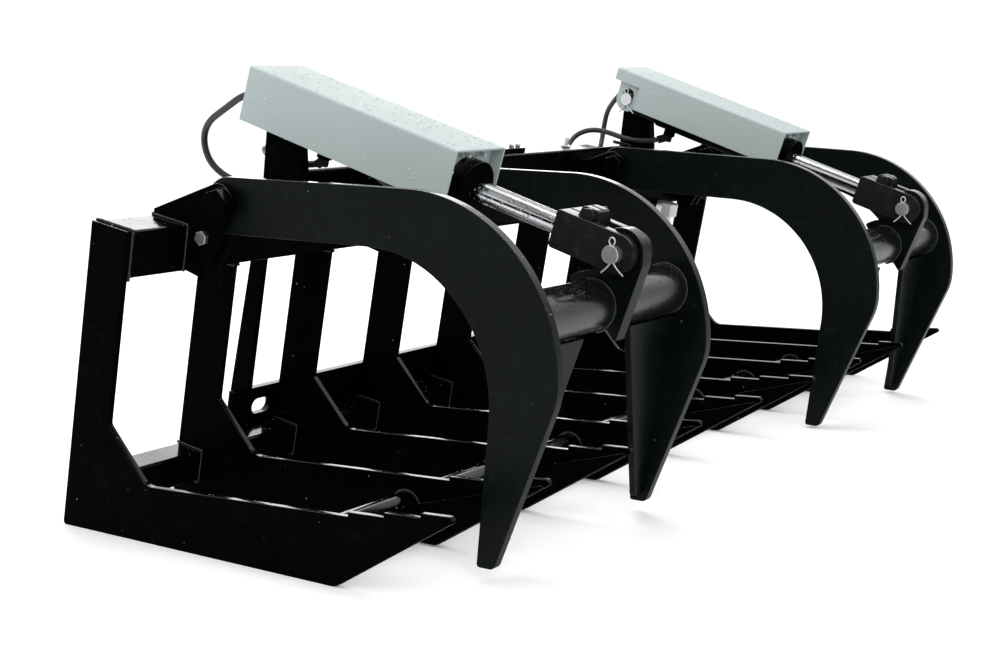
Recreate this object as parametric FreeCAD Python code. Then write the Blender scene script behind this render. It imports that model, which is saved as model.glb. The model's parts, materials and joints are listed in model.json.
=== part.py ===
import FreeCAD, Part
import math
import os
from FreeCAD import Vector

# Brush grapple: nine tines on a leaning back frame, two clamping jaws, two cylinders.
# X runs across the grapple, the tine tips point to -Y and +Z is up.
# Side profiles are drawn as (s, z): s is the distance forward of the heel, so y = -s.
# The back frame leans forward: its own axes are u, up along the lean, and w, forward of it.

# Tines
tine_count = 9
tine_pitch = 228.6
tine_plate = 10.0
tine_lean = 9.8
upright_width = 70.0
flat_length = 514.0
tip_reach = 702.0
tip_height = 125.0
tip_nose = 7.0
floor_edge_height = 83.0
floor_edge_start = 172.0
floor_edge_slope = 0.045
gusset_height = 163.0
gusset_corner = 8.0
gusset_foot = 28.0
tooth_count = 3
tooth_pitch = 58.0
tooth_step = 6.0
last_tooth_length = 50.0
heel_round = 5.0
toe_round = 24.0

# Side bars that thicken the tine noses
side_bar_plate = 8.0
side_bar_rise = 60.0
side_bar_clearance = 2.0
side_bar_inset = 3.0

# Tubes of the frame
main_tube_size = 70.0
main_tube_wall = 6.0
main_tube_top = 462.0
lower_tube_size = 50.0
lower_tube_wall = 5.0
lower_tube_top = 84.0
front_pipe_od = 48.3
front_pipe_wall = 5.0
front_pipe_reach = 462.0
front_pipe_height = 49.0
beam_height = 60.0
beam_depth = 40.0
beam_wall = 4.0
tube_corner = 6.0

# Jaws
jaw_centre = 570.0
hook_half_span = 211.0
hook_plate = 16.0
pivot_reach = 216.0
pivot_height = 479.0
pivot_bolt = 25.4
arm_above = 37.0
arm_below = 45.0
blade_reach = 555.0
blade_width = 104.0
blade_drop = 221.0
throat_drop = 254.0
outer_bend = 238.0
inner_bend = 198.0
blade_blend = 100.0
hook_tip_back = 108.0
hook_tip_drop = 460.0
hook_tip_width = 27.0
hook_tip_round = 9.0
right_jaw_closing = 1.8
jaw_pipe_od = 73.0
jaw_pipe_wall = 6.0
jaw_pipe_reach = 484.0
jaw_pipe_drop = 127.0
flange_plate = 10.0
flange_top_width = 139.0
flange_tip_width = 22.0
flange_tip_clearance = 14.0

# Cylinders and what carries them
pin_size = 25.4
base_pin_reach = 140.0
base_pin_height = 606.0
rod_pin_reach = 527.0
rod_pin_drop = 51.0
linkage_slack = 9.6
lug_plate = 25.0
lug_wall = 12.0
lug_side_gap = 1.0
lug_rear_reach = 83.0
lug_rear_drop = 39.0
clevis_radius = 28.0
clevis_cheek = 16.0
clevis_length = 104.0
clevis_ear_rise = 15.0
clevis_ear_half = 14.0
clamp_slit = 4.0
rod_end_wall = 4.0
pin_overhang = 14.0
rod_size = 31.75
barrel_od = 76.0
barrel_bore = 63.5
barrel_start = 62.0
barrel_foot = 12.0
rear_port = 30.0
front_port = 20.0
gland_nose = 12.0
gland_past_plate = 1.0
gland_length = 27.0
gland_od = 82.0
piston_length = 30.0
piston_from_gland = 25.0
port_boss = 12.0
post_plate = 25.0
post_head = 30.0
base_fork_relief = 14.0
post_foot_front = 96.0
post_foot_rear = 18.0

# Covers
cover_length = 400.0
cover_width = 125.0
cover_sheet = 3.0
cover_rise = 58.0
cover_behind_pin = 36.0
cover_outer_depth = 85.0
cover_inner_depth = 72.0
cover_bend = 4.0
notch_drop = 25.0
notch_length = 61.0
ear_plate = 6.0
ear_inset = 9.0
ear_width = 50.0
ear_slot = 10.0
end_plate_inset = 20.0
strap_length = 38.0
strap_width = 11.0
strap_plate = 4.0
strap_stud = 6.0
strap_stud_length = 16.0

# Hinge brackets
bracket_plate = 10.0
bracket_round = 25.0
bracket_gap = 0.5
bracket_nose = 170.0
bracket_nose_height = 368.0
bracket_rear_rise = 9.0
bracket_top_slope = 0.55
bracket_low_edge = 4.0
bolt_head_flats = 38.0
bolt_head_height = 15.0
washer_od = 46.0
washer_plate = 4.0
stop_bolt = 12.0
stop_bolt_back = 38.0
stop_bolt_drop = 52.0

# Quick attach on the back
attach_half_width = 571.5
attach_plate = 12.0
attach_bar_offset = 534.0
attach_bar_depth = 42.0
attach_lip_width = 62.0
attach_lip_angle = 52.0
attach_lip_plate = 12.0
attach_lower_height = 140.0
attach_lower_bottom = 6.0
attach_slot_spacing = 1000.0
attach_slot_length = 46.0
attach_slot_rise = 28.0
attach_slot_width = 26.0

running_gap = 0.05

# Places that follow from the values above
hook_tip_reach = blade_reach - hook_tip_back
stop_bolt_reach = pivot_reach - stop_bolt_back
stop_bolt_height = pivot_height - stop_bolt_drop
gland_start = cover_length - cover_behind_pin - end_plate_inset + gland_past_plate

SIDES = (("left", -1), ("right", 1))
shapes = {}


def lean_point(u, w):
    angle = math.radians(tine_lean)
    s = w * math.cos(angle) + u * math.sin(angle)
    z = u * math.cos(angle) - w * math.sin(angle)
    return s, z


def at_lean(u, w, radius=0.0):
    s, z = lean_point(u, w)
    return s, z, radius


def space_point(x, corner):
    return Vector(x, -corner[0], corner[1])


def rounded_wire(corners, x=0.0):
    """Closed wire through (s, z, radius) corners, each rounded by its own tangent arc."""
    spans = []
    count = len(corners)
    for i in range(count):
        here = space_point(x, corners[i])
        before = space_point(x, corners[i - 1]) - here
        after = space_point(x, corners[(i + 1) % count]) - here
        radius = corners[i][2] if len(corners[i]) > 2 else 0.0
        if radius <= 0:
            spans.append((here, None, here))
            continue
        half = before.getAngle(after) / 2
        before.normalize()
        after.normalize()
        setback = radius / math.tan(half)
        middle = before + after
        middle.normalize()
        crown = here + middle * (radius / math.sin(half) - radius)
        spans.append((here + before * setback, crown, here + after * setback))
    edges = []
    for i in range(count):
        start, crown, end = spans[i]
        if crown is not None:
            edges.append(Part.Arc(start, crown, end).toShape())
        following = spans[(i + 1) % count][0]
        if end.distanceToPoint(following) > 1e-4:
            edges.append(Part.LineSegment(end, following).toShape())
    return Part.Wire(edges)


def plate(corners, x_middle, thickness):
    """Flat plate lying across X, cut to a side profile."""
    face = Part.Face(rounded_wire(corners, x_middle - thickness / 2))
    return face.extrude(Vector(thickness, 0, 0))


def cross_rod(diameter, x_start, x_end, reach, height):
    """Round bar along X at (reach, height)."""
    return Part.makeCylinder(diameter / 2, x_end - x_start, Vector(x_start, -reach, height), Vector(1, 0, 0))


def rectangular_tube(u_low, w_low, height, depth, wall, x_start, x_end):
    """Hollow section along X, square to the leaning back."""
    def ring(inset, corner):
        return [at_lean(u_low + inset, w_low + inset, corner),
                at_lean(u_low + inset, w_low + depth - inset, corner),
                at_lean(u_low + height - inset, w_low + depth - inset, corner),
                at_lean(u_low + height - inset, w_low + inset, corner)]
    middle = (x_start + x_end) / 2
    outside = plate(ring(0.0, tube_corner), middle, x_end - x_start)
    inside = plate(ring(wall, max(tube_corner - wall, 1.0)), middle, x_end - x_start + 2)
    return outside.cut(inside)


def tine_x(index):
    return (index - (tine_count - 1) / 2) * tine_pitch


def floor_edge(s):
    return floor_edge_height + floor_edge_slope * (s - floor_edge_start)


def tine_profile(top_u):
    """Side profile of one tine: upright, gusset, floor edge with its teeth, nose and bevel."""
    front_u = (gusset_height + upright_width * math.sin(math.radians(tine_lean))) / math.cos(
        math.radians(tine_lean))
    corners = [(0.0, 0.0, heel_round), (flat_length, 0.0, toe_round),
               (tip_reach, tip_height - tip_nose, 3.0), (tip_reach - 4.0, tip_height, 2.0)]
    for number in range(tooth_count, 0, -1):
        root = tip_reach - last_tooth_length - (tooth_count - number) * tooth_pitch
        corners.append((root, floor_edge(root) + number * tooth_step))
        corners.append((root, floor_edge(root) + (number - 1) * tooth_step))
    corners.append((floor_edge_start, floor_edge_height, gusset_foot))
    corners.append(at_lean(front_u, upright_width, gusset_corner))
    corners.append(at_lean(top_u, upright_width))
    corners.append(at_lean(top_u, 0.0))
    return corners


def lower_tube_notch(x, width):
    low = lower_tube_top - lower_tube_size
    corners = [at_lean(low, -20.0), at_lean(low, lower_tube_size, tube_corner),
               at_lean(lower_tube_top, lower_tube_size, tube_corner), at_lean(lower_tube_top, -20.0)]
    return plate(corners, x, width)


def make_tines():
    for index in range(tine_count):
        x = tine_x(index)
        at_end = index in (0, tine_count - 1)
        top_u = main_tube_top if at_end else main_tube_top - main_tube_size
        tine = plate(tine_profile(top_u), x, tine_plate)
        if not at_end:
            pipe = cross_rod(front_pipe_od, x - tine_plate, x + tine_plate, front_pipe_reach, front_pipe_height)
            tine = tine.cut(lower_tube_notch(x, tine_plate * 2)).cut(pipe)
        shapes["tine_%d" % (index + 1)] = [tine]


def make_side_bars():
    """One bar on the outer face of each inner tine, from the front pipe to the nose."""
    start = front_pipe_reach + front_pipe_od / 2 + side_bar_clearance
    bevel = (tip_height - tip_nose) / (tip_reach - flat_length)
    nose = tip_reach - side_bar_inset
    corners = [(start, side_bar_inset), (flat_length + side_bar_inset, side_bar_inset, toe_round / 2),
               (nose, side_bar_inset + bevel * (nose - flat_length - side_bar_inset), 2.0),
               (nose - 6.0, tip_height - tip_nose, 2.0), (start, side_bar_rise)]
    bars = []
    for index in range(1, tine_count - 1):
        x = tine_x(index) - tine_plate / 2 - side_bar_plate / 2
        bars.append(plate(corners, x, side_bar_plate))
    shapes["tine_side_bars"] = bars


def make_frame_tubes():
    inner = tine_x(tine_count - 1) - tine_plate / 2
    shapes["main_tube"] = [rectangular_tube(main_tube_top - main_tube_size, 0.0, main_tube_size, main_tube_size,
                                            main_tube_wall, -inner, inner)]
    shapes["lower_tube"] = [rectangular_tube(lower_tube_top - lower_tube_size, 0.0, lower_tube_size,
                                             lower_tube_size, lower_tube_wall, -inner, inner)]
    outside = cross_rod(front_pipe_od, -inner, inner, front_pipe_reach, front_pipe_height)
    bore = cross_rod(front_pipe_od - 2 * front_pipe_wall, -inner - 1, inner + 1, front_pipe_reach,
                     front_pipe_height)
    shapes["front_pipe"] = [outside.cut(bore)]
    beam_end = jaw_centre - post_plate / 2
    shapes["post_beam"] = [rectangular_tube(main_tube_top, 0.0, beam_height, beam_depth, beam_wall,
                                            -beam_end, beam_end)]


def bolt_pair(diameter, x_middle, grip, reach, height, flats, head):
    """Hexagon bolt along X with a head at one end and a nut at the other."""
    start = x_middle - grip / 2
    end = x_middle + grip / 2
    bolt = cross_rod(diameter, start - 1, end + head, reach, height)
    for x in (start - head, end):
        bolt = bolt.fuse(hexagon(flats, head, x, reach, height))
    return bolt.removeSplitter()


def hexagon(flats, thickness, x_start, reach, height):
    radius = flats / math.sqrt(3)
    corners = []
    for k in range(6):
        angle = math.radians(60 * k + 15)
        corners.append((reach + radius * math.cos(angle), height + radius * math.sin(angle)))
    return plate(corners, x_start + thickness / 2, thickness)


def bracket_profile(rear):
    """Bracket plate: saddles the main tube's top and front, and carries the jaw bolt."""
    top = main_tube_top
    low = main_tube_top - main_tube_size + bracket_low_edge
    return [at_lean(top, rear), at_lean(top + bracket_rear_rise + rear * bracket_top_slope, rear, 2.0),
            (pivot_reach - bracket_round * 0.5, pivot_height + bracket_round * 1.14, bracket_round),
            (pivot_reach + bracket_round * 1.3, pivot_height + bracket_round * 0.86, bracket_round),
            (bracket_nose, bracket_nose_height, 4.0), at_lean(low, upright_width),
            at_lean(top, upright_width)]


def make_hinge_brackets():
    grip = hook_plate + 2 * bracket_gap + 2 * bracket_plate
    bolts = []
    washers = []
    stops = []
    for side, sign in SIDES:
        plates = []
        for place in (-hook_half_span, hook_half_span):
            x = sign * jaw_centre + place
            for face in (-1, 1):
                middle = x + face * (hook_plate / 2 + bracket_gap + bracket_plate / 2)
                rear = beam_depth if abs(x) < jaw_centre else 0.0
                blank = plate(bracket_profile(rear), middle, bracket_plate)
                hole = cross_rod(pivot_bolt, middle - bracket_plate, middle + bracket_plate,
                                 pivot_reach, pivot_height)
                slot = cross_rod(stop_bolt, middle - bracket_plate, middle + bracket_plate,
                                 stop_bolt_reach, stop_bolt_height)
                plates.append(blank.cut(hole).cut(slot))
                outer = middle + face * (bracket_plate / 2 + washer_plate / 2)
                ring = cross_rod(washer_od, outer - washer_plate / 2, outer + washer_plate / 2,
                                 pivot_reach, pivot_height)
                washers.append(ring.cut(cross_rod(pivot_bolt, outer - washer_plate, outer + washer_plate,
                                                  pivot_reach, pivot_height)))
            bolts.append(bolt_pair(pivot_bolt, x, grip + 2 * washer_plate, pivot_reach, pivot_height,
                                   bolt_head_flats, bolt_head_height))
            stops.append(bolt_pair(stop_bolt, x, grip, stop_bolt_reach, stop_bolt_height,
                                   stop_bolt * 1.6, stop_bolt * 0.65))
        shapes["hinge_brackets_" + side] = plates
    shapes["hinge_bolts"] = bolts
    shapes["hinge_washers"] = washers
    shapes["bracket_stop_bolts"] = stops


def from_pivot(forward, up, radius=0.0):
    return pivot_reach + forward, pivot_height + up, radius


def hook_profile():
    """Hook plate: straight arm, one broad bend and a blade that tapers to the tip."""
    end = arm_above + arm_below
    rear = -end / 2
    return [from_pivot(rear, arm_above, end / 2 - 0.1),
            from_pivot(blade_reach, arm_above, outer_bend),
            from_pivot(blade_reach, -blade_drop, blade_blend),
            from_pivot(hook_tip_reach + hook_tip_width / 2, -hook_tip_drop, hook_tip_round),
            from_pivot(hook_tip_reach - hook_tip_width / 2, -hook_tip_drop, hook_tip_round / 2),
            from_pivot(blade_reach - blade_width, -throat_drop, blade_blend),
            from_pivot(blade_reach - blade_width, -arm_below, inner_bend),
            from_pivot(rear, -arm_below, end / 2 - 0.1)]


def lug_profile():
    """Lug that stands on the pipe's top and front and takes the rod pin."""
    head = pin_size / 2 + linkage_slack + lug_wall
    pipe = jaw_pipe_od / 2
    return [from_pivot(rod_pin_reach + head, -rod_pin_drop + head, head - 0.1),
            from_pivot(rod_pin_reach + head, -rod_pin_drop - head * 0.45, head * 0.5),
            from_pivot(jaw_pipe_reach + pipe + 0.5, -jaw_pipe_drop - pipe - 14.0, 3.0),
            from_pivot(jaw_pipe_reach + pipe * 0.4, -jaw_pipe_drop - pipe * 0.6),
            from_pivot(jaw_pipe_reach - pipe * 0.65, -jaw_pipe_drop + pipe * 0.45),
            from_pivot(rod_pin_reach - lug_rear_reach, -rod_pin_drop - lug_rear_drop, 5.0),
            from_pivot(rod_pin_reach - lug_rear_reach * 0.8, -rod_pin_drop - lug_rear_drop * 0.8, 8.0),
            from_pivot(rod_pin_reach - head, -rod_pin_drop - head * 0.7, 5.0),
            from_pivot(rod_pin_reach - head, -rod_pin_drop + head, head - 0.1)]


def flange_plate_solid(x_face, direction):
    """Tapered stiffener square to the hook, from the jaw pipe down to the tip."""
    top_drop = jaw_pipe_drop + jaw_pipe_od / 2 + 1.0
    tip_drop = hook_tip_drop - flange_tip_clearance
    share = (tip_drop - blade_drop) / (hook_tip_drop - blade_drop)
    tip_forward = hook_tip_reach + (blade_reach - blade_width / 2 - 6.0 - hook_tip_reach) * (1 - share)
    top_forward = jaw_pipe_reach + 14.0
    points = []
    for forward, drop, width in ((top_forward, top_drop, 0.0), (top_forward, top_drop, flange_top_width),
                                 (tip_forward, tip_drop, flange_tip_width), (tip_forward, tip_drop, 0.0)):
        points.append(space_point(x_face + direction * width, from_pivot(forward, -drop)))
    face = Part.Face(Part.makePolygon(points + points[:1]))
    normal = (points[2] - points[0]).cross(points[1] - points[0])
    normal.normalize()
    solid = face.extrude(normal * flange_plate)
    solid.translate(normal * (-flange_plate / 2))
    return solid


def close_jaw(shape, sign):
    """Turn a jaw piece to where its side's jaw stands."""
    turned = shape.copy()
    if sign > 0:
        turned.rotate(Vector(0, -pivot_reach, pivot_height), Vector(1, 0, 0), right_jaw_closing)
    return turned


def make_jaws():
    bore = pivot_bolt + 2 * running_gap
    for side, sign in SIDES:
        middle = sign * jaw_centre
        for name, place in (("outer", sign * hook_half_span), ("inner", -sign * hook_half_span)):
            x = middle + place
            hook = plate(hook_profile(), x, hook_plate)
            hook = hook.cut(cross_rod(bore, x - hook_plate, x + hook_plate, pivot_reach, pivot_height))
            shapes["hook_%s_%s" % (name, side)] = [close_jaw(hook, sign)]
        span = hook_half_span - hook_plate / 2
        centre = (pivot_reach + jaw_pipe_reach, pivot_height - jaw_pipe_drop)
        pipe = cross_rod(jaw_pipe_od, middle - span, middle + span, *centre)
        hollow = cross_rod(jaw_pipe_od - 2 * jaw_pipe_wall, middle - span - 1, middle + span + 1, *centre)
        shapes["jaw_pipe_" + side] = [close_jaw(pipe.cut(hollow), sign)]
        lug = plate(lug_profile(), middle, lug_plate).cut(pipe)
        eye = cross_rod(pin_size + 2 * linkage_slack, middle - lug_plate, middle + lug_plate,
                        pivot_reach + rod_pin_reach, pivot_height - rod_pin_drop)
        shapes["jaw_lug_" + side] = [close_jaw(lug.cut(eye), sign)]
        flanges = []
        for direction in (1, -1):
            flange = flange_plate_solid(middle - direction * span, direction).cut(pipe)
            flanges.append(close_jaw(flange, sign))
        shapes["jaw_flanges_" + side] = flanges


def rod_pin_place(sign):
    """Where the rod pin stands on one side, as (s, z)."""
    turn = math.radians(right_jaw_closing if sign > 0 else 0.0)
    forward = rod_pin_reach * math.cos(turn) - rod_pin_drop * math.sin(turn)
    down = rod_pin_drop * math.cos(turn) + rod_pin_reach * math.sin(turn)
    return pivot_reach + forward, pivot_height - down


def cylinder_line(sign):
    """Length from base pin to rod pin, and the slope of that line in degrees."""
    s, z = rod_pin_place(sign)
    across = s - base_pin_reach
    drop = base_pin_height - z
    return math.hypot(across, drop), math.degrees(math.atan2(drop, across))


def along_cylinder(shape, sign):
    """Move a piece drawn about the base pin onto the cylinder's own line."""
    moved = shape.copy()
    moved.rotate(Vector(0, 0, 0), Vector(1, 0, 0), cylinder_line(sign)[1])
    moved.translate(Vector(sign * jaw_centre, -base_pin_reach, base_pin_height))
    return moved


def line_rod(diameter, start, end):
    return Part.makeCylinder(diameter / 2, end - start, Vector(0, -start, 0), Vector(0, -1, 0))


def clevis_blank(length):
    """Fork drawn with its pin at the origin and its shank to the rear."""
    width = lug_plate + 2 * lug_side_gap + 2 * clevis_cheek
    corners = [(clevis_radius, clevis_radius, clevis_radius - 0.1),
               (clevis_radius, -clevis_radius, clevis_radius - 0.1),
               (-length, -clevis_radius, 6.0), (-length, clevis_radius, 6.0)]
    return plate(corners, 0.0, width)


def clevis_throat(depth):
    gap = lug_plate + 2 * lug_side_gap
    corners = [(2 * clevis_radius, 2 * clevis_radius), (2 * clevis_radius, -2 * clevis_radius),
               (-depth, -2 * clevis_radius), (-depth, 2 * clevis_radius)]
    return plate(corners, 0.0, gap)


def make_rod_clevis():
    """Cast fork clamped on the rod's end: cheeks, split shank with ears, and its clamp bolt."""
    depth = pin_size / 2 + 2 * linkage_slack + lug_wall + 2.0
    fork = clevis_blank(clevis_length)
    ear_middle = -depth - clevis_ear_half
    ear_foot = clevis_ear_half * 1.4
    ear_top = clevis_radius + clevis_ear_rise
    ears = plate([(ear_middle - ear_foot, clevis_radius * 0.7),
                  (ear_middle - clevis_ear_half, ear_top, clevis_ear_half * 0.6),
                  (ear_middle + clevis_ear_half, ear_top, clevis_ear_half * 0.6),
                  (ear_middle + ear_foot, clevis_radius * 0.7)], 0.0, clevis_cheek * 2)
    fork = fork.fuse(ears).cut(clevis_throat(depth))
    fork = fork.cut(line_rod(rod_size, -clevis_length - 1, -depth - rod_end_wall))
    slit = plate([(-clevis_length - 1, 0.0), (-clevis_length - 1, 2 * clevis_radius),
                  (-depth - rod_end_wall, 2 * clevis_radius), (-depth - rod_end_wall, 0.0)], 0.0, clamp_slit)
    fork = fork.cut(slit)
    width = lug_plate + 2 * lug_side_gap + 2 * clevis_cheek
    fork = fork.cut(cross_rod(pin_size, -width, width, 0.0, 0.0))
    bolt_height = clevis_radius + clevis_ear_rise / 3
    fork = fork.cut(cross_rod(stop_bolt, -width, width, ear_middle, bolt_height))
    bolt = bolt_pair(stop_bolt, 0.0, clevis_cheek * 2, ear_middle, bolt_height, stop_bolt * 1.6,
                     stop_bolt * 0.65)
    return fork, bolt, depth


def make_cylinders():
    width = lug_plate + 2 * lug_side_gap + 2 * clevis_cheek
    for side, sign in SIDES:
        length = cylinder_line(sign)[0]
        fork, bolt, depth = make_rod_clevis()
        shift = Vector(0, -length, 0)
        for piece in (fork, bolt):
            piece.translate(shift)
        shapes["rod_clevis_" + side] = [along_cylinder(fork, sign), along_cylinder(bolt, sign)]
        pin = cross_rod(pin_size, -width / 2 - pin_overhang, width / 2 + pin_overhang, length, 0.0)
        shapes["rod_pin_" + side] = [along_cylinder(pin, sign)]
        piston_end = gland_start - piston_from_gland
        rod = line_rod(rod_size, piston_end - 1, length - depth - rod_end_wall)
        rod = rod.fuse(line_rod(barrel_bore - 2 * running_gap, piston_end - piston_length, piston_end))
        shapes["piston_rod_" + side] = [along_cylinder(rod, sign)]
        shapes["barrel_" + side] = [along_cylinder(piece, sign) for piece in make_barrel()]
        shapes["gland_" + side] = [along_cylinder(make_gland(), sign)]
        shapes["cylinder_base_" + side] = [along_cylinder(make_base_fork(), sign)]
        make_cover(side, sign)


def make_barrel():
    tube = line_rod(barrel_od, barrel_start, gland_start)
    tube = tube.cut(line_rod(barrel_bore, barrel_start + barrel_foot, gland_start + 1))
    ports = []
    for place in (barrel_start + rear_port, gland_start - front_port):
        boss = Part.makeCylinder(port_boss, 13.0, Vector(0, -place, -barrel_od / 2 + 2.0), Vector(0, 0, -1))
        ports.append(boss.cut(line_rod(barrel_od, barrel_start, gland_start)))
    return [tube] + ports


def make_gland():
    ring = line_rod(gland_od, gland_start, gland_start + gland_length)
    nose = line_rod(barrel_bore, gland_start - gland_nose, gland_start + 1)
    return ring.fuse(nose).cut(line_rod(rod_size + 2 * running_gap, gland_start - 20.0,
                                        gland_start + gland_length + 1))


def make_base_fork():
    """Fork welded to the barrel's foot, around the post's head."""
    shank = clevis_blank(barrel_start)
    shank.rotate(Vector(0, 0, 0), Vector(1, 0, 0), 180)
    throat = clevis_throat(post_head + base_fork_relief)
    throat.rotate(Vector(0, 0, 0), Vector(1, 0, 0), 180)
    return shank.cut(throat).cut(cross_rod(pin_size + 2 * running_gap, -cover_width / 2, cover_width / 2, 0.0, 0.0))


def cover_wall(x_middle, bottom, notched):
    """One side wall of the cover, with the open corner round the base pin where asked for."""
    rear = -cover_behind_pin
    front = cover_length - cover_behind_pin
    if notched:
        corners = [(rear, cover_rise), (front, cover_rise), (front, bottom),
                   (rear + notch_length, bottom), (rear + notch_length, cover_rise - notch_drop),
                   (rear, cover_rise - notch_drop)]
    else:
        corners = [(rear, cover_rise), (front, cover_rise), (front, bottom), (rear, bottom)]
    return plate(corners, x_middle, cover_sheet)


def make_cover(side, sign):
    """Folded sheet channel over the barrel, its hanging ears and its front end plate."""
    half = cover_width / 2
    rear = -cover_behind_pin
    front = cover_length - cover_behind_pin
    top = plate([(rear, cover_rise), (front, cover_rise), (front, cover_rise - cover_sheet),
                 (rear, cover_rise - cover_sheet)], 0.0, cover_width)
    outer = cover_wall(sign * (half - cover_sheet / 2), cover_rise - cover_outer_depth, False)
    inner = cover_wall(-sign * (half - cover_sheet / 2), cover_rise - cover_inner_depth, True)
    channel = top.fuse([outer, inner]).removeSplitter()
    bent = [edge for edge in channel.Edges if long_top_edge(edge)]
    channel = channel.makeFillet(cover_bend, bent)
    shapes["cover_" + side] = [along_cylinder(channel, sign)]
    ears = []
    for direction in (-1, 1):
        x = direction * (half - cover_sheet - ear_inset)
        ear = plate([(-ear_width / 2, cover_rise - cover_sheet), (ear_width / 2, cover_rise - cover_sheet),
                     (ear_width / 2, -ear_width / 2, ear_width / 2 - 0.5),
                     (-ear_width / 2, -ear_width / 2, ear_width / 2 - 0.5)], x, ear_plate)
        slot = plate([(-pin_size / 2 - running_gap, ear_slot + pin_size / 2, pin_size / 2 - 0.5),
                      (pin_size / 2 + running_gap, ear_slot + pin_size / 2, pin_size / 2 - 0.5),
                      (pin_size / 2 + running_gap, -pin_size / 2 - running_gap, pin_size / 2 - 0.5),
                      (-pin_size / 2 - running_gap, -pin_size / 2 - running_gap, pin_size / 2 - 0.5)],
                     x, ear_plate * 2)
        ears.append(along_cylinder(ear.cut(slot), sign))
    shapes["cover_ears_" + side] = ears
    shapes["cover_end_plate_" + side] = [along_cylinder(piece, sign) for piece in make_end_plate()]


def long_top_edge(edge):
    low = edge.BoundBox
    along = low.YLength > cover_length - 1
    at_side = abs(abs(low.Center.x) - cover_width / 2) < 0.1
    return along and at_side and abs(low.Center.z - cover_rise) < 0.1


def make_end_plate():
    """Plate in the cover's mouth: saddled on the gland, with a black strap under two nuts."""
    place = cover_length - cover_behind_pin - end_plate_inset
    half = cover_width / 2 - cover_sheet
    sheet = Part.makeBox(2 * half, cover_sheet, cover_rise - cover_sheet, Vector(-half, -place, 0))
    sheet = sheet.cut(line_rod(barrel_od, place - cover_width, place + cover_width))
    level = (barrel_od / 2 + cover_rise - cover_sheet) / 2
    strap = Part.makeBox(strap_length, strap_plate, strap_width,
                         Vector(-strap_length / 2, -place - strap_plate, level - strap_width / 2))
    studs = []
    for direction in (-1, 1):
        x = direction * strap_length / 2
        stud = Part.makeCylinder(strap_stud / 2, strap_stud_length, Vector(x, -place, level), Vector(0, -1, 0))
        nut = Part.makeCylinder(strap_stud, strap_stud, Vector(x, -place, level), Vector(0, -1, 0))
        studs.append(stud.fuse(nut).removeSplitter())
    for stud in studs:
        strap = strap.cut(stud)
    return [sheet, strap] + studs


def post_profile():
    """Post: foot on the main tube, waist, and a round head for the base pin."""
    foot = main_tube_top
    return [at_lean(foot, post_foot_rear), at_lean(foot, upright_width, 1.0),
            at_lean(foot + 46.0, post_foot_front - 6.0, 12.0),
            (base_pin_reach + post_head, base_pin_height - post_head * 0.8, 20.0),
            (base_pin_reach + post_head, base_pin_height + post_head, post_head - 0.1),
            (base_pin_reach - post_head, base_pin_height + post_head, post_head - 0.1),
            (base_pin_reach - post_head, base_pin_height - post_head * 0.8, 20.0)]


def make_posts():
    reach = cover_width / 2 - cover_sheet - 1.0
    pins = []
    for side, sign in SIDES:
        x = sign * jaw_centre
        post = plate(post_profile(), x, post_plate)
        post = post.cut(cross_rod(pin_size, x - post_plate, x + post_plate, base_pin_reach, base_pin_height))
        shapes["post_" + side] = [post]
        pins.append(cross_rod(pin_size, x - reach, x + reach, base_pin_reach, base_pin_height))
    shapes["base_pins"] = pins


def make_quick_attach():
    """Attach plates: side bars, a slanted top lip and a lower plate with two pin slots."""
    bars = []
    for side, sign in SIDES:
        corners = [at_lean(attach_lower_bottom, -attach_bar_depth), at_lean(attach_lower_bottom, 0.0),
                   at_lean(main_tube_top, 0.0), at_lean(main_tube_top - 6.0, -attach_bar_depth * 0.55, 6.0)]
        x = sign * attach_bar_offset
        bar = plate(corners, x, attach_plate)
        shapes["attach_bar_" + side] = [bar]
        bars.append(bar)
    angle = math.radians(attach_lip_angle)
    root_u = main_tube_top - 10.0
    reach_w = attach_lip_width * math.sin(angle)
    drop_u = attach_lip_width * math.cos(angle)
    thick_u = attach_lip_plate / math.sin(angle)
    lip = plate([at_lean(root_u, 0.0), at_lean(root_u - drop_u, -reach_w), at_lean(root_u - drop_u - thick_u, -reach_w),
                 at_lean(root_u - thick_u, 0.0)], 0.0, 2 * attach_half_width)
    for bar in bars:
        lip = lip.cut(bar)
    pieces = sorted(lip.Solids, key=lambda solid: solid.CenterOfMass.x)
    shapes["attach_top_lip"] = pieces
    top = attach_lower_bottom + attach_lower_height
    lower = plate([at_lean(attach_lower_bottom, -attach_plate), at_lean(attach_lower_bottom, 0.0),
                   at_lean(top, 0.0), at_lean(top, -attach_plate)], 0.0, 2 * attach_half_width)
    for bar in bars:
        lower = lower.cut(bar)
    shapes["attach_lower_plate"] = [cut_slots(solid) for solid in lower.Solids]


def cut_slots(solid):
    """Pin slots through the lower plate, one at each side."""
    middle_u = lower_tube_top + attach_slot_rise
    for sign in (-1, 1):
        half = (attach_slot_length - attach_slot_width) / 2
        x = sign * attach_slot_spacing / 2
        s, z = lean_point(middle_u, -attach_plate - 2.0)
        direction = Vector(0, -math.cos(math.radians(tine_lean)), -math.sin(math.radians(tine_lean)))
        slot = None
        for place in (x - half, x + half):
            drill = Part.makeCylinder(attach_slot_width / 2, attach_plate + 4.0, Vector(place, -s, z), direction)
            slot = drill if slot is None else slot.fuse(drill)
        bridge = Part.makeBox(2 * half, attach_plate + 4.0, attach_slot_width,
                              Vector(-half, -attach_plate - 4.0, -attach_slot_width / 2))
        bridge.rotate(Vector(0, 0, 0), Vector(1, 0, 0), tine_lean)
        bridge.translate(Vector(x, -s, z))
        solid = solid.cut(slot.fuse(bridge))
    return solid


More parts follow.
